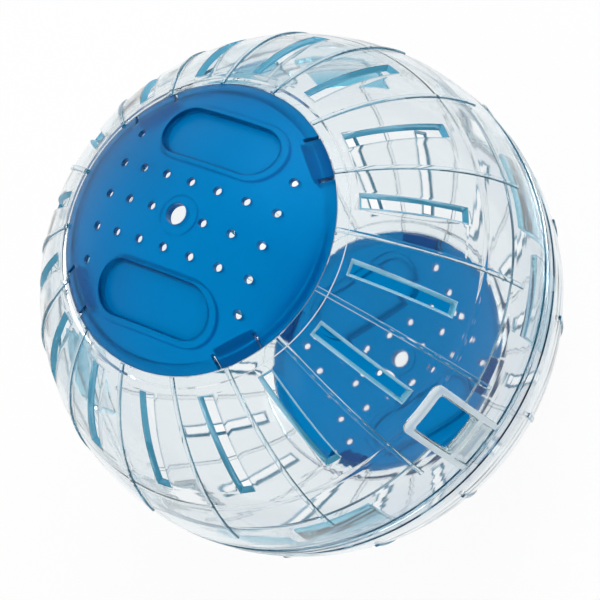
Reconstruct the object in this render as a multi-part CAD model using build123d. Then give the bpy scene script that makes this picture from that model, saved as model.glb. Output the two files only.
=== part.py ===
from build123d import *
import math
import os

# Hamster ball: two equal clear half shells that snap together, and two equal domed caps that close
# the mouths at the ends of the ball. The origin is the centre of the ball, +Z runs along its axis to
# the upper cap, and all lengths are millimetres. Lengths called arcs are measured on the outer sphere.

# Ball and shell wall
ball_diameter = 180.0
shell_wall = 2.0
parting_gap = 0.3  # between the rims of the two halves
fit_clearance = 0.3  # between a tongue or hook and the half that it enters

# Mouth and the seat of the cap
cap_diameter = 96.6
cap_wall = 2.0
rim_clearance = 0.3  # between the edge of the cap and the edge of the mouth
seat_clearance = 0.3  # between the cap and the ledge that it rests on
ledge_width = 4.2  # how far the ledge reaches in under the cap
ledge_thickness = 1.8
ledge_root_arc = 4.6  # the ledge's hold on the shell, outwards from the edge of the cap

# Vent slots and grip ribs
slot_count = 16
slot_width = 5.2
slot_margin_arc = 2.5  # from the root of the ledge to the slot
slot_frame_gap_arc = 5.4  # from the slot to the latch frame below it
rib_width = 1.5
rib_height = 0.6
rib_end_arc = 18.0  # above the parting plane

# Rolling band, joint groove and inner bead
band_arc = 23.0
band_thickness = 1.0
groove_offset_arc = 2.4
groove_width_arc = 3.9
groove_depth = 0.5
bead_offset_arc = 36.2
bead_width_arc = 1.2
bead_height = 0.4

# Latch window and its raised frame
window_width = 13.6
window_height = 21.2
window_offset_arc = 14.9  # lower edge above the parting plane
window_corner = 1.6
frame_leg = 2.6
frame_head = 4.0
frame_bar = 2.4
frame_foot_arc = 3.1  # foot of the frame's legs above the parting plane
frame_corner = 3.0
frame_height = 1.0

# Locating tongues
tongue_count = 4
tongue_width = 27.0
tongue_reach = 17.0
tongue_thickness = 1.6
tongue_tip = 0.8  # thickness at the free end, because the inner face runs straight
tongue_root = 8.0
tongue_angle = 33.75

# Snap hooks and the pockets that their noses drop into
hook_width = 11.0
hook_foot = 2.0  # the hook stands on its root this far inside its own rim
hook_reach = 9.4
hook_nose_height = 0.9
pocket_offset = 5.2  # above the parting plane
pocket_height = 3.4
pocket_depth = 1.0

# Cap: finger grips, air holes, axle hole and snap tongues
grip_length = 42.8
grip_width = 17.2
grip_depth = 3.0
grip_rim_margin = 12.7  # from the edge of the cap to the grip
grip_wall = 1.6
hole_diameter = 2.7
hole_pitch = 10.0
hole_row_pitch = 11.0
holes_each_side = 3
axle_hole_diameter = 7.0
boss_diameter = 12.8
boss_length = 3.4
snap_count = 4
snap_width = 14.0
snap_thickness = 2.0
snap_bite = 2.2
snap_stub = 1.2  # the least height of the stub that the snap tongue hangs from
snap_slit = 1.1
upper_cap_turn = -72.1  # direction of the hole rows, from the X axis
lower_cap_turn = -22.5

# Worked out from the sizes above
ball_radius = ball_diameter / 2
shell_inner = ball_radius - shell_wall
band_inner = shell_inner - band_thickness
tongue_outer = band_inner - fit_clearance
tongue_inner = tongue_outer - tongue_thickness
rim_z = parting_gap / 2
cap_radius = cap_diameter / 2
cap_inner = ball_radius - cap_wall
cap_edge = math.degrees(math.asin(cap_radius / ball_radius))
mouth_edge = math.degrees(math.asin((cap_radius + rim_clearance) / ball_radius))
mouth_radius = cap_radius - ledge_width
ledge_top = cap_inner - seat_clearance
ledge_bottom = ledge_top - ledge_thickness
slot_pitch = 360 / slot_count
snap_face = math.sqrt((mouth_radius - fit_clearance) ** 2 - (snap_width / 2) ** 2)
snap_back = snap_face - snap_thickness
snap_top = ledge_bottom - fit_clearance
snap_bottom = snap_top - snap_thickness
big = 2 * ball_diameter
through = 4 * shell_wall  # spare depth of a cut beyond the faces that it passes
rim_layer_angle = 45.0  # how far a rim layer reaches either side of the parting plane


def arc_angle(arc):
    return math.degrees(arc / ball_radius)


def above_rim(arc):
    """Angle from the ball's axis of a line that lies an arc above the parting plane."""
    return 90 - arc_angle(arc)


def polar_point(radius, angle):
    turn = math.radians(angle)
    return (radius * math.sin(turn), 0, radius * math.cos(turn))


def sector(inner, outer, start, end):
    """Flat face in the XZ plane between two radii and two angles from the axis."""
    middle = (start + end) / 2
    edges = [
        ThreePointArc(polar_point(outer, start), polar_point(outer, middle), polar_point(outer, end)),
        Line(polar_point(outer, end), polar_point(inner, end)),
        ThreePointArc(polar_point(inner, end), polar_point(inner, middle), polar_point(inner, start)),
        Line(polar_point(inner, start), polar_point(outer, start)),
    ]
    return make_face(edges)


def ring(inner, outer, start, end):
    return revolve(sector(inner, outer, start, end), axis=Axis.Z)


def rim_layer(inner, outer):
    """Layer of the ball that lies about the parting plane."""
    return ring(inner, outer, 90 - rim_layer_angle, 90 + rim_layer_angle)


def rail(inner, outer, start, end, width):
    """Curved bar of constant width that lies along a meridian at the X axis."""
    return extrude(sector(inner, outer, start, end), amount=width / 2, both=True)


def slab(low, high):
    """Everything between two heights."""
    return Pos(0, 0, (low + high) / 2) * Box(big, big, high - low)


def strip(width):
    """Everything on the +X side of the axis within a width along Y."""
    return Pos(big / 2, 0, 0) * Box(big, width, big)


def turned(shape, angle):
    return Rot(0, 0, angle) * shape


def flipped(shape):
    """Half turn about the level line at -45 degrees, which carries one half shell onto the other."""
    return shape.rotate(Axis((0, 0, 0), (1, -1, 0)), 180)


flange_polar = cap_edge + arc_angle(ledge_root_arc)

# Latch window, measured on the plane that touches the ball at the window's centre
window_polar = above_rim(window_offset_arc + window_height / 2)
frame_top_polar = window_polar - arc_angle(window_height / 2 + frame_head)
frame_foot_polar = above_rim(frame_foot_arc)


def window_plane():
    centre = polar_point(ball_radius, window_polar)
    return Plane(origin=centre, x_dir=(0, 1, 0), z_dir=centre)


def window_block(width, low, high, corner, inner, outer):
    """Rounded prism that passes out through the wall; low and high are arcs down and up from centre."""
    outline = Pos(0, (high - low) / 2) * RectangleRounded(width, high + low, corner)
    prism = extrude(window_plane() * outline, amount=through, both=True)
    return prism & rim_layer(inner, outer)


def latch_window():
    half = window_height / 2
    inner = band_inner - shell_wall
    return window_block(window_width, half, half, window_corner, inner, ball_radius + through)


def latch_frame():
    half = window_height / 2
    foot = math.radians(frame_foot_polar - window_polar) * ball_radius
    bar = half + frame_bar
    outer = ball_radius + frame_height
    inner = ball_radius - shell_wall / 2
    frame = window_block(window_width + 2 * frame_leg, foot, half + frame_head, frame_corner, inner, outer)
    below = foot + frame_corner
    opening = window_block(window_width, below, -bar, window_corner, ball_radius, outer + frame_height)
    return frame - opening


def sphere_point(radius, height):
    return (math.sqrt(radius**2 - height**2), 0, height)


def locating_tongue():
    """Tapered plate on the inside of a rim that reaches into the other half, at the X axis."""
    tip_outer = sphere_point(tongue_outer, -tongue_reach)
    tip_inner = (tip_outer[0] - tongue_tip, 0, -tongue_reach)
    rim_outer = sphere_point(tongue_outer, rim_z)
    rim_inner = sphere_point(tongue_inner, rim_z)
    edges = [
        ThreePointArc(tip_outer, sphere_point(tongue_outer, -tongue_reach / 2), rim_outer),
        Line(rim_outer, rim_inner),
        Line(rim_inner, tip_inner),
        Line(tip_inner, tip_outer),
    ]
    plate = revolve(make_face(edges), axis=Axis.Z)
    root = rim_layer(tongue_inner, shell_inner) & slab(rim_z, tongue_root)
    return (plate + root) & strip(tongue_width)


def hook_root():
    """Block inside a rim that carries a snap hook, at the X axis."""
    block = rim_layer(tongue_inner, shell_inner) & slab(hook_foot, tongue_root)
    return block & strip(hook_width)


def hook_pocket():
    """Blind pocket inside the rolling band, below the latch window, at the X axis."""
    pocket = rim_layer(band_inner - fit_clearance, band_inner + pocket_depth)
    pocket = pocket & slab(pocket_offset, pocket_offset + pocket_height)
    return pocket & strip(hook_width + 2 * fit_clearance)


def snap_hook():
    """Springy tongue that drops into the other half, with its nose in the pocket there."""
    plate = rim_layer(tongue_inner, tongue_outer) & slab(-hook_foot, hook_reach)
    low = pocket_offset + fit_clearance
    high = pocket_offset + pocket_height - fit_clearance
    inside = tongue_outer - tongue_thickness / 2
    corners = [
        sphere_point(inside, low),
        sphere_point(tongue_outer + hook_nose_height, low),
        sphere_point(tongue_outer, high),
        sphere_point(inside, high),
    ]
    nose = revolve(make_face(Polyline(corners, close=True)), axis=Axis.Z)
    hook = (plate + nose) & strip(hook_width)
    return hook.rotate(Axis.X, 180)


def plate_xz(left, right, low, high):
    """Rectangle in the XZ plane, for trimming a profile."""
    return Plane.XZ * Pos((left + right) / 2, (low + high) / 2) * Rectangle(right - left, high - low)


def shell_profile():
    """Section of a half shell: wall, cap ledge, rolling band and bead, less the joint groove."""
    ledge_start = math.degrees(math.asin(mouth_radius / ledge_top)) - arc_angle(ledge_width)
    profile = sector(shell_inner, ball_radius, mouth_edge, 90)
    profile += sector(ledge_bottom, ledge_top, ledge_start, flange_polar)
    profile += sector(ledge_bottom, shell_inner + shell_wall / 2, mouth_edge, flange_polar)
    profile += sector(band_inner, shell_inner + shell_wall / 2, above_rim(band_arc), 90)
    bead_low = above_rim(bead_offset_arc)
    bead_high = bead_low - arc_angle(bead_width_arc)
    profile += sector(shell_inner - bead_height, shell_inner + shell_wall / 2, bead_high, bead_low)
    groove_low = above_rim(groove_offset_arc)
    groove_high = above_rim(groove_offset_arc + groove_width_arc)
    profile -= sector(ball_radius - groove_depth, ball_radius + shell_wall, groove_high, groove_low)
    profile -= plate_xz(-mouth_radius, mouth_radius, 0, ball_diameter)
    profile -= plate_xz(0, ball_diameter, -rim_z, rim_z)
    return profile


def half_shell():
    shell = revolve(shell_profile(), axis=Axis.Z)
    rib_end = above_rim(rib_end_arc)
    rib = rail(shell_inner + shell_wall / 2, ball_radius + rib_height, mouth_edge, rib_end, rib_width)
    shell = shell + [turned(rib, slot_pitch * (step + 0.5)) for step in range(slot_count)]
    slot_start = flange_polar + arc_angle(slot_margin_arc)
    slot_end = frame_top_polar - arc_angle(slot_frame_gap_arc)
    slot = rail(shell_inner - through, ball_radius + through, slot_start, slot_end, slot_width)
    shell = shell - [turned(slot, slot_pitch * step) for step in range(slot_count)]
    shell = shell + [turned(latch_frame(), side) for side in (90, -90)]
    shell = shell - [turned(latch_window(), side) for side in (90, -90)]
    shell = shell - [turned(hook_pocket(), side) for side in (90, -90)]
    tongue_turns = [tongue_angle + 360 / tongue_count * step for step in range(tongue_count)]
    shell = shell + [turned(locating_tongue(), turn) for turn in tongue_turns]
    return shell + [turned(hook_root(), side) for side in (0, 180)]


def snap_hooks():
    return Compound([turned(snap_hook(), side) for side in (0, 180)])


def grip_outline(spread):
    return SlotOverall(grip_length + 2 * spread, grip_width + 2 * spread)


def cap_dome():
    reach = ball_radius * math.cos(math.radians(cap_edge)) - grip_depth - grip_wall - through
    dome = revolve(sector(cap_inner, ball_radius, 0, cap_edge), axis=Axis.Z)
    grip_offset = cap_radius - grip_rim_margin - grip_width / 2
    for side in (1, -1):
        place = Pos(0, side * grip_offset, reach)
        well = extrude(place * grip_outline(0), amount=big) - Pos(0, 0, -grip_depth) * Sphere(ball_radius)
        cup = extrude(place * grip_outline(grip_wall), amount=big)
        cup = (cup & Sphere(ball_radius - cap_wall / 2)) - Pos(0, 0, -grip_depth) * Sphere(cap_inner)
        dome = dome + cup
        dome = dome - well
    upright = (Align.CENTER, Align.CENTER, Align.MIN)
    boss = Pos(0, 0, ball_radius - boss_length) * Cylinder(boss_diameter / 2, boss_length, align=upright)
    dome = dome + (boss & Sphere(ball_radius - cap_wall / 2))
    hole = Pos(0, 0, reach) * Cylinder(hole_diameter / 2, big, align=upright)
    columns = range(-holes_each_side, holes_each_side + 1)
    spots = [(i, j) for j in (-1, 0, 1) for i in columns if (i, j) != (0, 0)]
    spots += [(i, j) for j in (-2, 2) for i in (-holes_each_side, holes_each_side)]
    dome = dome - [Pos(i * hole_pitch, j * hole_row_pitch, 0) * hole for i, j in spots]
    return dome - Cylinder(axle_hole_diameter / 2, big)


def snap_turns():
    return [45 + 360 / snap_count * step for step in range(snap_count)]


def snap_join_z():
    return math.sqrt(cap_inner**2 - mouth_radius**2) - snap_stub


def snap_block(low, high):
    block = Pos((snap_back + snap_face) / 2, 0, (low + high) / 2)
    return block * Box(snap_thickness, snap_width, high - low)


def cap():
    dome = cap_dome()
    slit_length = cap_radius - snap_face + through
    slit_y = (snap_width + snap_slit) / 2
    slit = Box(slit_length, snap_slit, big, align=(Align.MIN, Align.CENTER, Align.CENTER))
    for turn in snap_turns():
        stub = snap_block(snap_join_z(), ball_radius) & Sphere(ball_radius - cap_wall / 2)
        dome = dome - [turned(Pos(snap_face, side * slit_y, 0) * slit, turn) for side in (1, -1)]
        dome = dome + turned(stub, turn)
    return dome


def snap_tongue():
    """Leg through the mouth with a foot under the ledge, at the X axis."""
    leg = snap_block(0, snap_join_z()) - Sphere(snap_bottom)
    tip = math.degrees(math.asin((mouth_radius + snap_bite) / snap_top))
    foot = revolve(sector(snap_bottom, snap_top, 0, tip), axis=Axis.Z)
    foot = foot & Pos(snap_back, 0, 0) * strip(snap_width)
    return leg + foot


def cap_tongues():
    return Compound([turned(snap_tongue(), turn) for turn in snap_turns()])


os.makedirs("parts", exist_ok=True)

upper_half = half_shell()
upper_hooks = snap_hooks()
one_cap = cap()
one_tongues = cap_tongues()
lower_cap_twist = -90 - lower_cap_turn  # turn before the cap is flipped to the lower mouth

export_step(upper_half, "parts/upper_half.step")
export_step(flipped(upper_half), "parts/lower_half.step")
export_step(upper_hooks, "parts/upper_snap_hooks.step")
export_step(flipped(upper_hooks), "parts/lower_snap_hooks.step")
export_step(turned(one_cap, upper_cap_turn), "parts/upper_cap.step")
export_step(flipped(turned(one_cap, lower_cap_twist)), "parts/lower_cap.step")
export_step(turned(one_tongues, upper_cap_turn), "parts/upper_cap_tongues.step")
export_step(flipped(turned(one_tongues, lower_cap_twist)), "parts/lower_cap_tongues.step")
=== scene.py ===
import bpy
import numpy as np
from mathutils import Matrix, Vector
from mathutils.geometry import delaunay_2d_cdt


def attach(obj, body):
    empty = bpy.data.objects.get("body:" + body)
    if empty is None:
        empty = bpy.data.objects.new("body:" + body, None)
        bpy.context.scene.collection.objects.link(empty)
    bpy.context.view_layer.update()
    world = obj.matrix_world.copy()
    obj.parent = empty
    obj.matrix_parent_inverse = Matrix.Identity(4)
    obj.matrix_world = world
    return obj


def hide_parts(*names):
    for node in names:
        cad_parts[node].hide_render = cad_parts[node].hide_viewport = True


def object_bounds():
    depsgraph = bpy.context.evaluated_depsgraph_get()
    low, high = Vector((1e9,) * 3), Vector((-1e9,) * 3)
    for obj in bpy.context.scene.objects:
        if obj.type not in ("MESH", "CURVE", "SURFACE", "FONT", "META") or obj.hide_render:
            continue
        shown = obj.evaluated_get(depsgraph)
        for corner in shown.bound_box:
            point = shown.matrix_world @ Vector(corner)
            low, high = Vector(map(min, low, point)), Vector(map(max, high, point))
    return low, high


# Clear hamster ball with blue end caps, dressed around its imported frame.
# Shapes are worked out in millimetres about the centre of the ball and become metres in newPiece.
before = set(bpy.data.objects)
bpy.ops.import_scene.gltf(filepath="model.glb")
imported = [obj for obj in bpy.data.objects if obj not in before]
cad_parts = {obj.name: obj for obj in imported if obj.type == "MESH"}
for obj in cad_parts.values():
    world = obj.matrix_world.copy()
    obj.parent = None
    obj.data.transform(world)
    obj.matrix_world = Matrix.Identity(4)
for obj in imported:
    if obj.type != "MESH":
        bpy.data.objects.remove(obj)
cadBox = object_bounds()
print("frame loaded with", len(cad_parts), "nodes")

ball = {"radius": 90.0, "shellInner": 88.0, "bandInner": 87.0, "rimZ": 0.15, "bandPolar": 75.36}
upperCapTurn = -72.1  # direction of the upper cap's hole rows, in degrees
lowerCapTurn = -67.5  # the same for the lower cap, before it is flipped to its mouth


# Meshes

def flipped(points):
    # half turn about the level line at -45 degrees: x, y, z becomes -y, -x, -z
    return points[..., [1, 0, 2]] * -1.0


def turned(points, degrees):
    # turn about the ball's axis
    c, s = np.cos(np.radians(degrees)), np.sin(np.radians(degrees))
    return points @ np.array([[c, s, 0], [-s, c, 0], [0, 0, 1]])


def onSphere(radius, polar, turn):
    # point at a radius, an angle from the axis and a turn about it, both in radians
    level = radius * np.sin(polar)
    return np.stack([level * np.cos(turn), level * np.sin(turn), radius * np.cos(polar)], axis=-1)


def sandwich(outer, inner, solid, wrap=False, lip=None):
    # Two skins on one grid of rows and columns. Each solid cell gets a face on both skins, and each edge
    # between a solid cell and a missing one gets a wall. lip holds rows that lead from the first outer row
    # to the first inner row in place of a plain wall there.
    rows, cols = outer.shape[:2]
    count = rows * cols
    grid = np.arange(count).reshape(rows, cols)
    if wrap:
        grid = np.hstack([grid, grid[:, :1]])
    a, b, c, d = grid[:-1, :-1], grid[1:, :-1], grid[1:, 1:], grid[:-1, 1:]
    framed = np.pad(solid, 1)
    if wrap:
        framed[:, 0], framed[:, -1] = framed[:, -2], framed[:, 1]
    north, south = framed[:-2, 1:-1], framed[2:, 1:-1]
    west, east = framed[1:-1, :-2], framed[1:-1, 2:]
    if lip is not None:
        north = north.copy()
        north[0] = True
    quads = [np.stack([a, b, c, d], -1)[solid], np.stack([a, d, c, b], -1)[solid] + count]
    for first, second, beside in ((b, a, west), (c, b, south), (d, c, east), (a, d, north)):
        bare = solid & ~beside
        quads.append(np.stack([first, second, second + count, first + count], -1)[bare])
    points = [outer.reshape(-1, 3), inner.reshape(-1, 3)]
    if lip is not None:
        strip = np.arange(lip.shape[0] * cols).reshape(-1, cols) + 2 * count
        strip = np.vstack([grid[:1, :cols], strip, grid[:1, :cols] + count])
        strip = np.hstack([strip, strip[:, :1]])
        lipQuads = np.stack([strip[:-1, :-1], strip[:-1, 1:], strip[1:, 1:], strip[1:, :-1]], -1)
        quads.append(lipQuads.reshape(-1, 4))
        points.append(lip.reshape(-1, 3))
    return np.concatenate(points), np.concatenate(quads)


def joined(shapes):
    # several points-and-faces pairs as one
    starts = np.cumsum([0] + [len(points) for points, faces in shapes])
    return (np.concatenate([points for points, faces in shapes]),
            np.concatenate([faces + start for (points, faces), start in zip(shapes, starts)]))


def newPiece(name, shape, material, body, replaced, marks=None):
    # marks holds point attributes by name
    points, faces = shape
    mesh = bpy.data.meshes.new(name)
    mesh.from_pydata((points * 0.001).tolist(), [], faces.tolist())
    mesh.polygons.foreach_set("use_smooth", np.ones(len(mesh.polygons), bool))
    mesh.set_sharp_from_angle(angle=np.radians(28))
    for mark, values in (marks or {}).items():
        mesh.attributes.new(mark, "FLOAT", "POINT").data.foreach_set("value", values)
    mesh.materials.append(material)
    piece = bpy.data.objects.new(name, mesh)
    bpy.context.scene.collection.objects.link(piece)
    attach(piece, body)
    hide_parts(replaced)
    print(name, "has", len(points), "points and", len(faces), "faces")
    return piece


# Materials

class Wire:
    # one socket of a material's nodes; sums and products of wires add Math nodes
    def __init__(self, tree, socket=None):
        self.tree, self.socket = tree, socket

    def add(self, kind, settings=None, inputs=None, output=0):
        # any node: its settings first, then values or wires for its sockets
        node = self.tree.nodes.new(kind)
        for name, value in (settings or {}).items():
            setattr(node, name, value)
        for name, value in (inputs or {}).items():
            if isinstance(value, Wire):
                self.tree.links.new(value.socket, node.inputs[name])
            else:
                node.inputs[name].default_value = value
        return Wire(self.tree, node.outputs[output] if node.outputs else None)

    def sum(self, operation, first, second):
        return self.add("ShaderNodeMath", {"operation": operation}, {0: first, 1: second})

    def __add__(self, other):
        return self.sum("ADD", self, other)

    def __sub__(self, other):
        return self.sum("SUBTRACT", self, other)

    def __rsub__(self, other):
        return self.sum("SUBTRACT", other, self)

    def __mul__(self, other):
        return self.sum("MULTIPLY", self, other)

    __radd__, __rmul__ = __add__, __mul__


def newTree(name):
    material = bpy.data.materials.new(name)
    material.use_nodes = True
    material.node_tree.nodes.clear()
    return material, Wire(material.node_tree)


clearFinish = {
    # the edge blue is painted light, as if led along the walls from the blue caps; the near-black for steep
    # sides is painted shade
    "tint": (0.905, 0.925, 0.935, 1), "paintedCapLight": (0.12, 0.53, 0.71, 1), "stepShadeTint": (0.05, 0.07, 0.08, 1),
    "ior": 1.52, "glossTint": (0.15, 0.15, 0.15, 1), "roughness": 0.02, "haze": 0.03,
    "absorb": (0.36, 0.76, 0.88, 1), "density": 14.0,
    "waveScale": 42.0, "waveHeight": 0.0003, "smearScale": 160.0, "smearHeight": 0.02,
    "frostRoughness": 0.32, "frostWhite": 0.55,
    "frostColour": (0.80, 0.90, 0.92, 1), "leadColour": (0.10, 0.45, 0.66, 1),
}


def clearPlastic():
    # Clear moulded plastic: slightly wavy gloss and a cool tint that deepens along the wall. Marks on the
    # points say where it is frosted (frost), where an edge gets painted blue light as if led from the caps
    # (edge), where the steep side of a rib or ledge gets painted dark shade, and where a wall shows light led
    # along the plastic (lead).
    material, w = newTree("clear_plastic")
    place = w.add("ShaderNodeTexCoord", output="Object")
    wave = w.add("ShaderNodeTexNoise", None, {
        "Vector": place, "Scale": clearFinish["waveScale"], "Detail": 1.0})
    smear = w.add("ShaderNodeTexNoise", None, {
        "Vector": place, "Scale": clearFinish["smearScale"], "Detail": 3.0})
    frost = w.add("ShaderNodeAttribute", {"attribute_name": "frost"}, output="Fac")
    edge = w.add("ShaderNodeAttribute", {"attribute_name": "edge"}, output="Fac")
    paintedStepShade = w.add("ShaderNodeAttribute", {"attribute_name": "paintedStepShade"}, output="Fac")
    lead = w.add("ShaderNodeAttribute", {"attribute_name": "lead"}, output="Fac")
    # painted light: marked edges take the blue of light led from the caps
    tone = w.add("ShaderNodeMix", {"data_type": "RGBA"}, {
        0: edge, 6: clearFinish["tint"], 7: clearFinish["paintedCapLight"]}, output=2)
    # painted shade: steep rib and ledge sides darkened towards near-black
    tone = w.add("ShaderNodeMix", {"data_type": "RGBA"}, {
        0: paintedStepShade, 6: tone, 7: clearFinish["stepShadeTint"]}, output=2)
    bump = w.add("ShaderNodeBump", None, {
        "Strength": 1.0, "Distance": clearFinish["waveHeight"],
        "Height": wave + smear * clearFinish["smearHeight"]})
    rough = clearFinish["roughness"] + smear * clearFinish["haze"] + frost * clearFinish["frostRoughness"]
    glass = w.add("ShaderNodeBsdfPrincipled", None, {
        "Base Color": tone, "Roughness": rough, "IOR": clearFinish["ior"], "Transmission Weight": 1.0,
        "Specular Tint": clearFinish["glossTint"], "Normal": bump})
    white = w.add("ShaderNodeBsdfDiffuse", None, {"Color": clearFinish["frostColour"]})
    skin = w.add("ShaderNodeMixShader", None, {0: frost * clearFinish["frostWhite"], 1: glass, 2: white})
    glow = w.add("ShaderNodeBsdfDiffuse", None, {"Color": clearFinish["leadColour"]})
    skin = w.add("ShaderNodeMixShader", None, {0: lead, 1: skin, 2: glow})
    depth = w.add("ShaderNodeVolumeAbsorption", None, {
        "Color": clearFinish["absorb"], "Density": clearFinish["density"]})
    w.add("ShaderNodeOutputMaterial", None, {"Surface": skin, "Volume": depth})
    return material


blueFinish = {
    "deep": (0.0, 0.235, 0.57, 1), "bright": (0.0, 0.27, 0.65, 1), "ior": 1.35, "transmission": 0.82,
    "glossTint": (0.02, 0.40, 0.85, 1), "gloss": 0.3, "roughness": 0.28, "haze": 0.08,
    "waveScale": 30.0, "waveHeight": 0.0003, "smearScale": 140.0, "smearHeight": 0.02,
    "line": (0.0, 0.055, 0.19, 1), "lineShade": 0.9,
}


def bluePlastic():
    # translucent blue plastic: slightly cloudy colour under a polished skin, with painted dark shade on steep
    # walls and edges
    material, w = newTree("blue_plastic")
    place = w.add("ShaderNodeTexCoord", output="Object")
    cloud = w.add("ShaderNodeTexNoise", None, {
        "Vector": place, "Scale": blueFinish["waveScale"], "Detail": 2.0})
    smear = w.add("ShaderNodeTexNoise", None, {
        "Vector": place, "Scale": blueFinish["smearScale"], "Detail": 3.0})
    tone = w.add("ShaderNodeMix", {"data_type": "RGBA"}, {
        0: cloud, 6: blueFinish["deep"], 7: blueFinish["bright"]}, output=2)
    # painted shade: a dark blue over the grips' steep walls and the edges of holes, slits and rim
    paintedCapShade = w.add("ShaderNodeAttribute", {"attribute_name": "paintedCapShade"}, output="Fac")
    tone = w.add("ShaderNodeMix", {"data_type": "RGBA"}, {
        0: paintedCapShade * blueFinish["lineShade"], 6: tone, 7: blueFinish["line"]}, output=2)
    bump = w.add("ShaderNodeBump", None, {
        "Strength": 1.0, "Distance": blueFinish["waveHeight"],
        "Height": cloud + smear * blueFinish["smearHeight"]})
    rough = blueFinish["roughness"] + smear * blueFinish["haze"]
    plastic = w.add("ShaderNodeBsdfPrincipled", None, {
        "Base Color": tone, "Roughness": rough, "IOR": blueFinish["ior"],
        "Transmission Weight": blueFinish["transmission"], "Specular IOR Level": blueFinish["gloss"],
        "Specular Tint": blueFinish["glossTint"], "Normal": bump})
    w.add("ShaderNodeOutputMaterial", None, {"Surface": plastic})
    return material


clear = clearPlastic()
blue = bluePlastic()
print("materials ready")


# Half shell

shell = {
    "mouthPolar": 32.68, "mouthRadius": 44.1, "ledgeTop": 87.7, "ledgeBottom": 85.9, "flangePolar": 35.39,
    "slotHalf": 2.6, "slotInner": 1.6, "slotTop": 36.98, "slotEnd": 61.0,
    "ribHalf": 0.75, "ribHeight": 0.6, "ribEnd": 78.54,
    "grooveTop": 86.0, "grooveEnd": 88.47, "grooveDepth": 0.5,
    "beadPolar": 66.57, "beadHeight": 0.15, "bevel": 0.15,
    "pocketHalf": 5.8, "pocketTop": 84.39, "pocketEnd": 86.61, "pocketRadius": 88.0,
    "windowHalf": 6.8, "windowPolar": 73.77, "windowRise": 10.6, "windowCorner": 1.6,
    "legWidth": 2.6, "headWidth": 4.0, "barWidth": 2.4, "footPolar": 88.03,
    "frameHeight": 0.98, "frameEdge": 0.68, "frameCorner": 3.2, "sectors": 16,
    # the blue weights paint light from the caps onto slot, window and ledge edges; the rib weight paints
    # shade on rib sides
    "footFrost": 0.6, "slotCapLight": 0.4, "windowCapLight": 0.3, "ledgeCapLight": 0.2, "ribShade": 0.15,
    "slotLead": 0.65, "ribLead": 0.2, "rimLead": 0.35,
}


def roundCorner(across, up, edge, level, side, radius, fade):
    # Grid rings about a square corner become arcs: a point's distance from the arc's centre becomes the
    # longer leg of its offset. The effect fades out beyond the corner.
    x = np.abs(across) - (edge - radius)
    y = side * (up - level) + radius
    longer = np.maximum(x, y)
    share = np.clip((radius + fade - longer) / fade, 0, 1)
    scale = 1 + (longer / np.maximum(np.hypot(x, y), 1e-6) - 1) * share
    near = (x > 0) & (y > 0)
    newAcross = np.sign(across) * (edge - radius + x * scale)
    newUp = level + side * (y * scale - radius)
    return np.where(near, newAcross, across), np.where(near, newUp, up)


def polarRows():
    # angles from the axis of the grid's rows: a pair of close rows at each edge, even steps between
    s = shell
    step = np.degrees(0.15 / ball["radius"])
    mil = np.degrees(1 / ball["radius"])
    top = s["windowPolar"] - s["windowRise"] * mil
    low = s["windowPolar"] + s["windowRise"] * mil
    head = top - s["headWidth"] * mil
    corner = s["windowCorner"] * mil
    bar = low + s["barWidth"] * mil
    rows = [
        [s["mouthPolar"], s["mouthPolar"] + step, 34.0],
        s["flangePolar"] + step * np.array([-2.5, -0.5, 0.5, 2.5]),
        [s["slotTop"] - step], np.linspace(s["slotTop"], s["slotEnd"], 13), [s["slotEnd"] + step, 62.5],
        [head - 1.2, head - step, head, head + step], np.linspace(head + 0.5, top - step, 5),
        np.linspace(top, top + corner, 5), np.linspace(top + corner, ball["bandPolar"] - step / 2, 6)[1:],
        [ball["bandPolar"] + step / 2, 76.9, s["ribEnd"] - step, s["ribEnd"]],
        np.linspace(low - corner, low, 5), [low + step, (low + bar) / 2, bar - step, bar, 83.4],
        [s["pocketTop"] - step, s["pocketTop"], 85.2, s["grooveTop"], s["grooveTop"] + 2 * step],
        [s["pocketEnd"], s["pocketEnd"] + step, 87.3, s["footPolar"] - step, s["footPolar"]],
        [s["grooveEnd"] - 2 * step, s["grooveEnd"], 89.1, 89.75],
        [np.degrees(np.arccos(ball["rimZ"] / ball["radius"]))],
    ]
    return np.concatenate([np.asarray(part, float) for part in rows]), head, top, low, bar


def columnOffsets(window):
    # distances from the slot's middle line of one sector's columns; those from the rib count back from it
    s = shell
    half = s["slotHalf"]
    edge = s["windowHalf"]
    leg = edge + s["legWidth"]
    plain = [half, half + s["bevel"], 4.4, 7.0, 10.2, 13.2]
    corner = np.linspace(edge - s["windowCorner"], edge, 5)
    legs = [edge + 0.2, edge + 0.6, (edge + leg) / 2, leg - 0.6, leg - 0.2, leg]
    pocket = [s["pocketHalf"] - 0.1, s["pocketHalf"] + 0.05]
    latched = sorted([half, half + s["bevel"], 4.0, *corner, *pocket, *legs,
                      leg + 0.4, leg + 1.2, leg + 2.6, 14.2])
    offsets = np.array(latched if window else plain)
    ribs = s["ribHalf"] + np.array([0.25, 0.08, -0.08])
    ribMiddle = -1e-9  # the rib's own middle line, which counts to the left side
    slot = [-half / 2, 0, half / 2]
    signed = np.concatenate([[ribMiddle], -ribs[::-1], -offsets[::-1], slot, offsets, ribs])
    fromRib = np.concatenate([[1, 1, 1, 1], np.zeros(2 * len(offsets) + 3), [1, 1, 1]]).astype(bool)
    return signed, fromRib, offsets.max()


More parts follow.
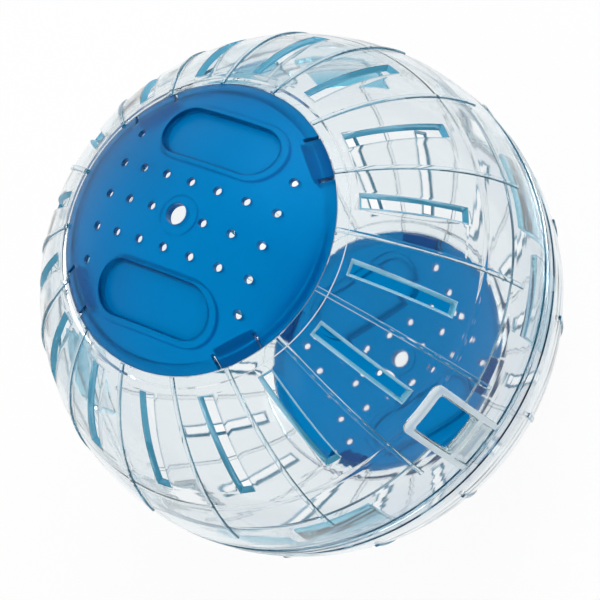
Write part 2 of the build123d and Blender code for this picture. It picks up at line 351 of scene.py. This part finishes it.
def halfShell():
    # Grid over the half ball: rows by angle from the axis, columns across each sector. Each skin has its
    # radius at every grid point, and the marks of the finish go with the points.
    s = shell
    near, far = 0.01, 99.0
    perDegree = 1.57  # millimetres along the ball
    polar, head, top, low, bar = polarRows()
    signed, fromRib, reach, centre, latch = [], [], [], [], []
    for sector in range(s["sectors"]):
        window = sector % 8 == 4
        values, ribFlags, farthest = columnOffsets(window)
        signed.append(values)
        fromRib.append(ribFlags)
        reach.append(np.full(len(values), farthest))
        centre.append(np.full(len(values), sector * 2 * np.pi / s["sectors"]))
        latch.append(np.full(len(values), window))
    signed, fromRib, reach, centre, latch = map(np.concatenate, (signed, fromRib, reach, centre, latch))
    side, offset = np.sign(signed), np.abs(signed)
    arcHalf = np.radians(180 / s["sectors"]) * ball["radius"] * np.sin(np.radians(polar))[:, None]
    start = s["slotHalf"] + s["bevel"]
    squeeze = np.clip((arcHalf - 1.2 - start) / (reach - start), 0, 1)
    spread = np.where(offset > start, start + (offset - start) * squeeze, offset)
    across = side * np.where(fromRib, arcHalf - offset, spread)
    up = np.radians(s["windowPolar"] - polar)[:, None] * ball["radius"] + np.zeros_like(across)

    # what each grid point carries: rib, latch frame, groove and bevels
    theta = polar[:, None] + np.zeros_like(across)
    away = np.where(fromRib, far, offset)[None, :] + np.zeros_like(across)
    legOut = s["windowHalf"] + s["legWidth"]
    raisedDepth = np.minimum.reduce([
        legOut - away, (theta - head) * ball["radius"] * np.pi / 180,
        (s["footPolar"] - theta) * ball["radius"] * np.pi / 180])
    inWindow = np.minimum.reduce([
        s["windowHalf"] + 0.2 - away, (theta - top) * perDegree, (low - theta) * perDegree])
    belowBar = np.minimum(s["windowHalf"] + 0.2 - away, (theta - bar) * perDegree)
    raisedDepth = np.minimum(raisedDepth, -np.maximum(inWindow, belowBar))
    raised = latch & (raisedDepth > 0.1)
    crown = np.clip(raisedDepth / 1.2, 0, 1)
    frameRise = np.where(raised, s["frameEdge"] + (s["frameHeight"] - s["frameEdge"]) * crown, 0)
    windowEdge = latch & (np.abs(inWindow) < 0.201) & (away < s["windowHalf"] + near)
    windowEdge &= (theta > top - near) & (theta < low + near)
    frameRise = np.where(windowEdge, s["frameEdge"] - s["bevel"], frameRise)
    rib = fromRib & (offset < s["ribHalf"]) & (theta < s["ribEnd"] - 0.05)
    ribRise = np.where(rib, np.where(offset < 0.1, s["ribHeight"], s["ribHeight"] - 0.1), 0)
    groove = (theta > s["grooveTop"] + 0.1) & (theta < s["grooveEnd"] - 0.1) & ~raised
    inSlot = (away < s["slotHalf"] + near) & (theta > s["slotTop"] - near) & (theta < s["slotEnd"] + near)
    rimEdge = np.zeros_like(raised)
    rimEdge[[0, -1]] = True
    cut = s["bevel"] * (inSlot | rimEdge)
    outerRadius = ball["radius"] + frameRise + ribRise - s["grooveDepth"] * groove - cut
    bead = s["beadHeight"] * np.clip(1 - np.abs(theta - s["beadPolar"]) / 0.6, 0, 1)
    innerRadius = np.where(theta > ball["bandPolar"], ball["bandInner"], ball["shellInner"] - bead)
    innerRadius = innerRadius + cut + s["bevel"] * windowEdge
    innerRadius = np.where(theta < s["flangePolar"], s["ledgeBottom"], innerRadius)
    pocket = latch & (away < s["pocketHalf"])
    pocket = pocket & (theta > s["pocketTop"] - near) & (theta < s["pocketEnd"] + near)
    innerRadius = np.where(pocket, s["pocketRadius"], innerRadius)

    # rounded corners of the windows and frames, then on to the sphere
    for edge, level, turn, radius, fade in (
            (s["windowHalf"], s["windowRise"], 1, s["windowCorner"], 1.2),
            (s["windowHalf"], -s["windowRise"], -1, s["windowCorner"], 1.2),
            (legOut, s["windowRise"] + s["headWidth"], 1, s["frameCorner"], 1.6)):
        newAcross, newUp = roundCorner(across, up, edge, level, turn, radius, fade)
        across, up = np.where(latch, newAcross, across), np.where(latch, newUp, up)
    polarGrid = np.radians(s["windowPolar"]) - up / ball["radius"]
    turnGrid = centre + across / (ball["radius"] * np.sin(polarGrid))
    outer = onSphere(outerRadius, polarGrid, turnGrid)

    # the slots narrow inwards, at their sides and ends
    taper = s["slotHalf"] - s["slotInner"]
    slotSide = inSlot & (np.abs(away - s["slotHalf"]) < near)
    slotHead = inSlot & (theta < s["slotTop"] + near)
    slotFoot = inSlot & (theta > s["slotEnd"] - near)
    innerAcross = across - np.sign(across) * taper * slotSide
    innerUp = up - taper * slotHead + taper * slotFoot
    innerPolar = np.radians(s["windowPolar"]) - innerUp / ball["radius"]
    inner = onSphere(innerRadius, innerPolar, centre + innerAcross / (ball["radius"] * np.sin(innerPolar)))

    # cells cut away: vent slots and latch windows
    columnMiddle = (signed + np.roll(signed, -1)) / 2
    rowMiddle = (polar[:-1] + polar[1:]) / 2
    columnAway = np.where(fromRib | np.roll(fromRib, -1), far, np.abs(columnMiddle))
    slotRows = (rowMiddle > s["slotTop"]) & (rowMiddle < s["slotEnd"])
    windowRows = (rowMiddle > top) & (rowMiddle < low)
    slotCells = slotRows[:, None] & (columnAway < s["slotHalf"])
    windowCells = windowRows[:, None] & (latch & (columnAway < s["windowHalf"]))

    # seat of the cap: mouth edge, ledge top, throat, ledge underside
    throatTop = np.sqrt(s["ledgeTop"] ** 2 - s["mouthRadius"] ** 2)
    throatLow = np.sqrt(s["ledgeBottom"] ** 2 - s["mouthRadius"] ** 2)
    topPolar = np.arcsin((s["mouthRadius"] + s["bevel"]) / s["ledgeTop"])
    lowPolar = np.arcsin((s["mouthRadius"] + s["bevel"]) / s["ledgeBottom"])
    level = np.array([s["ledgeTop"] * np.sin(np.radians(s["mouthPolar"])), s["mouthRadius"] + s["bevel"],
                      s["mouthRadius"], s["mouthRadius"], s["mouthRadius"] + s["bevel"]])
    height = np.array([s["ledgeTop"] * np.cos(np.radians(s["mouthPolar"])), s["ledgeTop"] * np.cos(topPolar),
                       throatTop - s["bevel"], throatLow + s["bevel"], s["ledgeBottom"] * np.cos(lowPolar)])
    turnRow = turnGrid[0]
    lip = np.stack([level[:, None] * np.cos(turnRow), level[:, None] * np.sin(turnRow),
                    height[:, None] + np.zeros_like(turnRow)], axis=-1)
    shape = sandwich(outer, inner, ~(slotCells | windowCells), wrap=True, lip=lip)

    # marks: first the outer skin's points, then the inner skin's, then the lip's
    plain = np.zeros_like(theta)
    foot = latch & (belowBar > 0) & (theta < s["footPolar"])
    frostOut = np.maximum(plain + (raised | windowEdge), s["footFrost"] * foot)
    # painted blue light from the caps on slot and window edges and at the mouth's ledge
    capLightOut = s["slotCapLight"] * inSlot + s["windowCapLight"] * windowEdge
    capLightIn = capLightOut.copy()
    capLightIn[0] = s["ledgeCapLight"]
    # painted shade on the steep sides of the ribs and of the ledge
    ribSide = fromRib & (np.abs(offset - s["ribHalf"]) < 0.1) & (theta < s["ribEnd"])
    ledgeSide = np.abs(theta - s["flangePolar"]) < 0.1
    led = s["slotLead"] * inSlot + s["rimLead"] * (theta > polar[-1] - near)
    marks = {"frost": (frostOut, 0, 0), "edge": (capLightOut, capLightIn, s["ledgeCapLight"]),
             "paintedStepShade": (s["ribShade"] * ribSide, s["ribShade"] * ledgeSide, 0),
             "lead": (led + s["ribLead"] * ribSide, led, 0)}
    plainLip = np.zeros(lip.size // 3)
    marks = {name: np.concatenate([np.ravel(plain + out), np.ravel(plain + inn), plainLip + end])
             for name, (out, inn, end) in marks.items()}
    return shape, marks


# Plates inside the rim: locating tongues, hook roots and snap hooks

tongue = {"half": 13.5, "top": 8.0, "end": -17.0, "inner": 85.1, "outer": 86.7, "root": 86.98, "tip": 0.8,
          "turns": (33.75, 123.75, 213.75, 303.75),
          "edgeZ": (-17.0, -11.0, -5.0, 0.0), "edge": (1.0, 1.0, 0.6, 0.1)}
hook = {"half": 5.5, "root": 8.0, "turns": (0.0, 180.0),
        "heights": (2.0, 1.8, -2.0, -5.3, -5.5, -8.3, -9.2, -9.4),
        "outer": (86.7, 86.7, 86.7, 86.7, 87.6, 86.75, 86.7, 86.6)}


def plate(heights, outerRadius, innerRadius, half, degrees):
    # curved plate: rows at heights, columns across its width, two spherical skins with eased edges
    ease = 0.2
    widths = np.concatenate([[-half], np.linspace(ease - half, half - ease, 9), [half]])
    z = np.asarray(heights, float)[:, None] + 0 * widths
    border = np.zeros_like(z)
    border[[0, -1]] = ease
    border[:, [0, -1]] = ease
    out = np.asarray(outerRadius, float)[:, None] - border
    inn = np.asarray(innerRadius, float)[:, None] + border
    turn = np.radians(degrees) + widths / tongue["inner"]
    outLevel, innLevel = np.sqrt(out ** 2 - z ** 2), np.sqrt(inn ** 2 - z ** 2)
    outer = np.stack([outLevel * np.cos(turn), outLevel * np.sin(turn), z], axis=-1)
    inner = np.stack([innLevel * np.cos(turn), innLevel * np.sin(turn), z], axis=-1)
    return sandwich(outer, inner, np.ones((len(heights) - 1, len(widths) - 1), bool))


def locatingTongue(degrees):
    # the outer face follows the ball, and the inner face runs straight down to a thinner free end
    body = np.linspace(-0.1, tongue["end"] + 0.2, 14)
    heights = np.array([tongue["top"], tongue["top"] - 0.2, 4.0, 0.3, *body, tongue["end"]])
    outer = [tongue["root"]] * 4 + [tongue["outer"]] * 15
    tip = np.sqrt(tongue["outer"] ** 2 - tongue["end"] ** 2) - tongue["tip"]
    straight = np.hypot(np.interp(heights, [tongue["end"], 0], [tip, tongue["inner"]]), heights)
    inner = np.where(heights > 0, tongue["inner"], straight)
    return plate(heights, outer, inner, tongue["half"], degrees)


def hookRoot(degrees):
    foot = hook["heights"][0]
    heights = [hook["root"], hook["root"] - 0.2, 5.0, foot + 0.2, foot + 0.02]
    return plate(heights, [tongue["root"]] * 5, [tongue["inner"]] * 5, hook["half"], degrees)


def snapHook(degrees):
    inner = [tongue["inner"]] * len(hook["heights"])
    return plate(hook["heights"], hook["outer"], inner, hook["half"], degrees)


wall, wallMarks = halfShell()
tongues = joined([locatingTongue(t) for t in tongue["turns"]])
roots = joined([hookRoot(t) for t in hook["turns"]])
halfShape = joined([wall, tongues, roots])
plateCount = len(tongues[0]) + len(roots[0])
halfMarks = {name: np.pad(values, (0, plateCount)) for name, values in wallMarks.items()}
tongueStart = len(wall[0])
# painted blue light from the caps on the tongues, strongest at their lower ends
tongueCapLight = np.interp(tongues[0][:, 2], tongue["edgeZ"], tongue["edge"])
halfMarks["edge"][tongueStart:tongueStart + len(tongueCapLight)] = tongueCapLight
hookShape = joined([snapHook(t) for t in hook["turns"]])
newPiece("upper_half_shell", halfShape, clear, "upper_half", "upper_half", halfMarks)
newPiece("lower_half_shell", (flipped(halfShape[0]), halfShape[1]), clear, "lower_half",
         "lower_half", halfMarks)
newPiece("upper_hooks", hookShape, clear, "upper_half", "upper_snap_hooks")
newPiece("lower_hooks", (flipped(hookShape[0]), hookShape[1]), clear, "lower_half",
         "lower_snap_hooks")
print("half shells and hooks ready")


# Caps

cap = {
    "radius": 48.3, "inner": 88.0, "holeRadius": 1.35, "pitch": 10.0, "rowPitch": 11.0, "holesEachSide": 3,
    "axleRadius": 3.5, "bossRadius": 6.4, "bossZ": 86.6,
    "gripHalf": 12.8, "gripRadius": 8.6, "gripY": 27.0, "gripDepth": 3.0, "gripWall": 1.6,
    "snapTurns": (45, 135, 225, 315), "snapFace": 43.24, "snapThick": 2.0, "snapHalf": 7.0, "stubZ": 74.95,
    "slit": 1.1, "bevel": 0.2, "mesh": 2.2,
}
wellSteps = {"distance": [-1.0, -0.55, -0.33, -0.06, 0.06, 0.4], "depth": [3.0, 2.93, 2.7, 0.32, 0.1, 0.0]}
# weights of painted shade across the grips' steep walls
wellWall = {"distance": [-1.1, -0.6, 0.05, 0.3], "paintedCapShade": [0.0, 1.0, 1.0, 0.0]}
cupSteps = {"distance": [-0.7, -0.3, -0.1, 0.0, 0.35], "depth": [3.0, 2.92, 2.65, 0.3, 0.0]}


def gripDistance(x, y):
    # distance outside the nearer finger grip's outline, a straight run with round ends
    beyond = np.maximum(np.abs(x) - cap["gripHalf"], 0)
    return np.hypot(beyond, np.abs(y) - cap["gripY"]) - cap["gripRadius"]


def snapFrames(x, y):
    # the point seen from each snap tongue: outwards and across
    turns = np.radians(cap["snapTurns"]).reshape((-1,) + (1,) * np.ndim(x))
    return x * np.cos(turns) + y * np.sin(turns), y * np.cos(turns) - x * np.sin(turns)


def slitDistance(x, y):
    # distance outside the nearest slit beside a snap tongue
    out, across = snapFrames(x, y)
    middle = cap["snapHalf"] + cap["slit"] / 2
    gap = np.maximum(cap["snapFace"] - out, np.abs(np.abs(across) - middle) - cap["slit"] / 2)
    return gap.min(axis=0)


def stubDistance(x, y):
    # distance outside the nearest stub that carries a snap tongue
    out, across = snapFrames(x, y)
    middle = cap["snapFace"] - cap["snapThick"] / 2
    beyond = np.maximum(np.abs(out - middle) - cap["snapThick"] / 2, np.abs(across) - cap["snapHalf"])
    return beyond.min(axis=0)


def circle(centre, radius, count):
    turn = np.linspace(0, 2 * np.pi, count, endpoint=False)
    return np.stack([centre[0] + radius * np.cos(turn), centre[1] + radius * np.sin(turn)], axis=-1)


def gripOutline(spread, side):
    # grip outline moved outwards by a spread
    right = np.linspace(-np.pi / 2, np.pi / 2, 19)
    run = np.linspace(cap["gripHalf"], -cap["gripHalf"], 13)[1:-1]
    radius = cap["gripRadius"] + spread
    x = np.concatenate([cap["gripHalf"] + radius * np.cos(right), run,
                        -cap["gripHalf"] - radius * np.cos(right), -run])
    y = np.concatenate([radius * np.sin(right), np.full(len(run), radius),
                        -radius * np.sin(right), np.full(len(run), -radius)])
    return np.stack([x, y + side * cap["gripY"]], axis=-1)


def atSnaps(outline):
    # copies of an outline about the cap's axis, one at each snap tongue
    turns = np.radians(cap["snapTurns"])
    outwards = np.stack([np.cos(turns), np.sin(turns)], -1)
    across = np.stack([-np.sin(turns), np.cos(turns)], -1)
    return outline @ np.stack([outwards, across], 1)


def capEdge(inset):
    # edge of the cap with its slits, moved inwards by an inset
    radius = cap["radius"] - inset
    low, high = cap["snapHalf"] - inset, cap["snapHalf"] + cap["slit"] + inset
    face = cap["snapFace"] - inset
    lowTurn, highTurn = np.arcsin(low / radius), np.arcsin(high / radius)
    tip = np.linspace(-lowTurn, lowTurn, 13)
    lowRun = np.linspace(np.sqrt(radius ** 2 - low ** 2), face, 5)
    highRun = np.linspace(np.sqrt(radius ** 2 - high ** 2), face, 5)
    notch = np.stack([np.concatenate([lowRun, highRun[::-1]]), np.repeat([low, high], 5)], axis=-1)
    run = np.linspace(highTurn, np.pi / 2 - highTurn, 29)[1:-1]
    piece = np.concatenate([
        notch[::-1] * [1, -1], np.stack([np.cos(tip), np.sin(tip)], -1)[1:-1] * radius, notch,
        np.stack([np.cos(run), np.sin(run)], -1) * radius])
    return np.concatenate(atSnaps(piece))


def stubOutline(spread):
    # corners of the four stubs, moved outwards by a spread
    x = np.array([cap["snapFace"] - cap["snapThick"] - spread, cap["snapFace"] + spread])
    y = np.linspace(-1, 1, 7) * (cap["snapHalf"] + spread)
    box = np.concatenate([np.stack([np.full(7, x[1]), y], -1), np.stack([np.full(7, x[0]), y[::-1]], -1)])
    return atSnaps(box)


def airHoles():
    columns = range(-cap["holesEachSide"], cap["holesEachSide"] + 1)
    spots = [(i, j) for j in (-1, 0, 1) for i in columns if (i, j) != (0, 0)]
    spots += [(i, j) for j in (-2, 2) for i in (columns[0], columns[-1])]
    return np.array(spots) * [cap["pitch"], cap["rowPitch"]]


def capShape():
    # Two height fields over one triangle net in plan. Top: the ball's sphere less the grips' depth.
    # Underside: the inner sphere less the cups, the boss and the stubs. Walls close the holes and the edge.
    # Painted dark shade is marked on the grips' walls and on all edges.
    holes = airHoles()
    loops = [capEdge(0), capEdge(cap["bevel"]), circle((0, 0), cap["axleRadius"], 40)]
    boss = cap["bossRadius"]
    rings = (cap["axleRadius"] + 0.25, boss - 0.15, boss, boss + 0.2)
    loops += [circle((0, 0), radius, 40) for radius in rings]
    loops += [circle(spot, cap["holeRadius"] + spread, 20) for spot in holes for spread in (0, 0.18)]
    for side in (1, -1):
        loops += [gripOutline(spread, side) for spread in wellSteps["distance"]]
        loops += [gripOutline(spread + cap["gripWall"], side) for spread in cupSteps["distance"]]
    loops += list(stubOutline(0)) + list(stubOutline(-0.12))
    pitch = cap["mesh"]
    x, y = np.meshgrid(np.arange(-50, 50, pitch), np.arange(-50, 50, pitch * 0.866))
    x = x + (np.arange(len(y)) % 2)[:, None] * pitch / 2
    # free points of the net keep clear of every outline
    grip = gripDistance(x, y)
    holeGap = np.hypot(x[..., None] - holes[:, 0], y[..., None] - holes[:, 1]).min(axis=-1)
    level = np.hypot(x, y)
    free = (np.abs(grip + 0.3) > 1.7) & (np.abs(grip - cap["gripWall"] + 0.2) > 1.4) & (holeGap > 2.4)
    free &= (np.abs(level - boss) > 1.0) & (level > cap["axleRadius"] + 1.0) & (level < cap["radius"] - 1.2)
    free &= (slitDistance(x, y) > 1.1) & (np.abs(stubDistance(x, y)) > 0.7)
    loops = [loop.reshape(-1, 2) for loop in loops]
    sizes = np.array([len(loop) for loop in loops])
    starts = np.concatenate([[0], np.cumsum(sizes)[:-1]])
    plan = np.concatenate(loops + [np.stack([x[free], y[free]], -1)])
    edges = np.concatenate([np.stack([np.arange(size), (np.arange(size) + 1) % size], -1) + start
                            for size, start in zip(sizes, starts)])
    net = delaunay_2d_cdt([Vector(p) for p in plan], edges.tolist(), [], 0, 1e-6)
    flat = np.array([(p.x, p.y) for p in net[0]])
    faces = np.array(net[2])
    middle = flat[faces].mean(axis=1)
    fromHoles = np.hypot(middle[:, :1] - holes[:, 0], middle[:, 1:] - holes[:, 1]).min(axis=1)
    keep = (np.hypot(*middle.T) > cap["axleRadius"]) & (fromHoles > cap["holeRadius"] - 0.02)
    keep &= slitDistance(*middle.T) > 0
    faces = faces[keep]
    used, faces = np.unique(faces, return_inverse=True)
    faces = faces.reshape(-1, 3)
    flat = flat[used]
    turnWay = np.cross(flat[faces[:, 1]] - flat[faces[:, 0]], flat[faces[:, 2]] - flat[faces[:, 0]])
    faces[turnWay < 0] = faces[turnWay < 0][:, ::-1]

    x, y = flat.T
    level = np.hypot(x, y)
    grip = gripDistance(x, y)
    holeGap = np.hypot(x[:, None] - holes[:, 0], y[:, None] - holes[:, 1]).min(axis=1) - cap["holeRadius"]
    edgeGap = np.minimum(cap["radius"] - level, slitDistance(x, y))
    eased = np.minimum(np.minimum(edgeGap, holeGap), level - cap["axleRadius"]) < 0.03
    topZ = np.sqrt(ball["radius"] ** 2 - level ** 2)
    topZ = topZ - np.interp(grip, wellSteps["distance"], wellSteps["depth"]) - cap["bevel"] * 0.8 * eased
    lowZ = np.sqrt(cap["inner"] ** 2 - level ** 2)
    lowZ -= np.interp(grip - cap["gripWall"], cupSteps["distance"], cupSteps["depth"])
    lowZ = np.where(level < boss + 0.1, cap["bossZ"] + np.interp(level, [boss - 0.15, boss], [0, 0.15]), lowZ)
    lowZ = np.where(stubDistance(x, y) < -0.06, cap["stubZ"], lowZ) + cap["bevel"] * 0.5 * eased
    taper = 1 - (1 - cap["inner"] / ball["radius"]) * np.clip((level - 43.5) / 3.0, 0, 1)
    top = np.stack([x, y, topZ], axis=-1)
    under = np.stack([x * taper, y * taper, lowZ], axis=-1)
    count = len(flat)
    sides = np.concatenate([faces[:, [0, 1]], faces[:, [1, 2]], faces[:, [2, 0]]])
    key = np.sort(sides, axis=1) @ [count, 1]
    values, first, uses = np.unique(key, return_index=True, return_counts=True)
    a, b = sides[first[uses == 1]].T
    walls = np.concatenate([np.stack([b, a, a + count], -1), np.stack([b, a + count, b + count], -1)])
    # painted shade: full on the grips' steep walls and eased top edges, half on eased edges underneath
    gripWall = np.interp(grip, wellWall["distance"], wellWall["paintedCapShade"])
    paintedCapShade = np.concatenate([np.maximum(gripWall, eased), 0.5 * eased])
    faces = np.concatenate([faces, faces[:, ::-1] + count, walls])
    return np.concatenate([top, under]), faces, {"paintedCapShade": paintedCapShade}


capPoints, capFaces, capMarks = capShape()
newPiece("upper_cap_door", (turned(capPoints, upperCapTurn), capFaces), blue, "upper_cap",
         "upper_cap", capMarks)
lowerPoints = flipped(turned(capPoints, lowerCapTurn))
newPiece("lower_cap_door", (lowerPoints, capFaces), blue, "lower_cap", "lower_cap", capMarks)
for node in ("upper_cap_tongues", "lower_cap_tongues"):
    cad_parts[node].material_slots[0].material = blue
print("caps ready")


# Studio: floor, world, lights and camera

studio = {"floorHalf": 4.0, "floorGap": 0.0003, "floorWhite": 0.93, "ambient": 0.55, "ceiling": 0.95,
          "lampSize": 0.9, "keyPlace": (0.75, 0.15, 0.95), "keyPower": 9.0,
          "fillPlace": (-0.8, -0.6, 0.7), "fillPower": 4.0}


def viewRays(w):
    # camera rays alone, and all rays that carry what the eye sees
    rays = [w.add("ShaderNodeLightPath", output=name) for name in
            ("Is Camera Ray", "Is Glossy Ray", "Is Transmission Ray")]
    return rays[0], w.sum("MINIMUM", rays[0] + rays[1] + rays[2], 1.0)


def whiteFloor():
    low = cadBox[0].z - studio["floorGap"]
    half = studio["floorHalf"]
    mesh = bpy.data.meshes.new("floor")
    corners = [(-half, -half, low), (half, -half, low), (half, half, low), (-half, half, low)]
    mesh.from_pydata(corners, [], [(0, 1, 2, 3)])
    material, w = newTree("floor_white")
    seen = viewRays(w)[1]
    matt = w.add("ShaderNodeBsdfDiffuse", None, {"Color": (0.9, 0.9, 0.9, 1)})
    glow = w.add("ShaderNodeEmission", None, {"Color": (1, 1, 1, 1), "Strength": 1.0})
    skin = w.add("ShaderNodeMixShader", None, {0: seen * studio["floorWhite"], 1: matt, 2: glow})
    w.add("ShaderNodeOutputMaterial", None, {"Surface": skin})
    mesh.materials.append(material)
    floor = bpy.data.objects.new("floor", mesh)
    bpy.context.scene.collection.objects.link(floor)


def whiteWorld():
    # white all round for the eye and for reflections, with a dim ceiling overhead
    world = bpy.data.worlds.new("studio")
    world.use_nodes = True
    world.node_tree.nodes.clear()
    w = Wire(world.node_tree)
    camera, seen = viewRays(w)
    place = w.add("ShaderNodeTexCoord", output="Object")
    height = w.add("ShaderNodeSeparateXYZ", None, {0: place}, output="Z")
    sky = w.add("ShaderNodeMapRange", {"interpolation_type": "SMOOTHSTEP"}, {
        "Value": height, "From Min": 0.0, "From Max": 0.35, "To Min": 1.0, "To Max": studio["ceiling"]})
    sky = w.sum("MAXIMUM", sky, camera)
    strength = seen * (sky - studio["ambient"]) + studio["ambient"]
    glow = w.add("ShaderNodeBackground", None, {"Color": (1, 1, 1, 1), "Strength": strength})
    w.add("ShaderNodeOutputWorld", None, {"Surface": glow})
    bpy.context.scene.world = world


def softLight(name, place, power):
    lamp = bpy.data.lights.new(name, "AREA")
    lamp.shape, lamp.size, lamp.energy = "DISK", studio["lampSize"], power
    light = bpy.data.objects.new(name, lamp)
    light.location = place
    light.rotation_euler = (-Vector(place)).to_track_quat("-Z", "Y").to_euler()
    light.visible_glossy = False
    bpy.context.scene.collection.objects.link(light)


view = {"azimuth": 6.37, "elevation": 58.97, "roll": -57.04, "distance": 0.70992, "lens": 123.0,
        "shiftX": -0.003, "shiftY": -0.00817}


def photoCamera():
    # the ball's centre seen along one direction, with the camera rolled about that line
    azimuth, elevation, roll = np.radians([view["azimuth"], view["elevation"], view["roll"]])
    away = np.array([
        np.sin(azimuth) * np.cos(elevation), -np.cos(azimuth) * np.cos(elevation), np.sin(elevation)])
    right = np.array([np.cos(azimuth), np.sin(azimuth), 0.0])
    up = np.cross(away, right)
    right, up = np.cos(roll) * right + np.sin(roll) * up, np.cos(roll) * up - np.sin(roll) * right
    lens = bpy.data.cameras.new("photo")
    lens.lens, lens.sensor_width = view["lens"], 36.0
    lens.shift_x, lens.shift_y = view["shiftX"], view["shiftY"]
    lens.clip_start, lens.clip_end = 0.01, 50.0
    camera = bpy.data.objects.new("photo", lens)
    matrix = np.eye(4)
    matrix[:3, 0], matrix[:3, 1], matrix[:3, 2], matrix[:3, 3] = right, up, away, away * view["distance"]
    camera.matrix_world = Matrix(matrix.tolist())
    bpy.context.scene.collection.objects.link(camera)
    bpy.context.scene.camera = camera


whiteFloor()
whiteWorld()
softLight("key", studio["keyPlace"], studio["keyPower"])
softLight("fill", studio["fillPlace"], studio["fillPower"])
photoCamera()
scene = bpy.context.scene
scene.view_settings.view_transform = "Standard"
scene.cycles.max_bounces = 28
scene.cycles.transmission_bounces = 26
scene.cycles.glossy_bounces = 12
scene.cycles.diffuse_bounces = 4
print("studio ready")
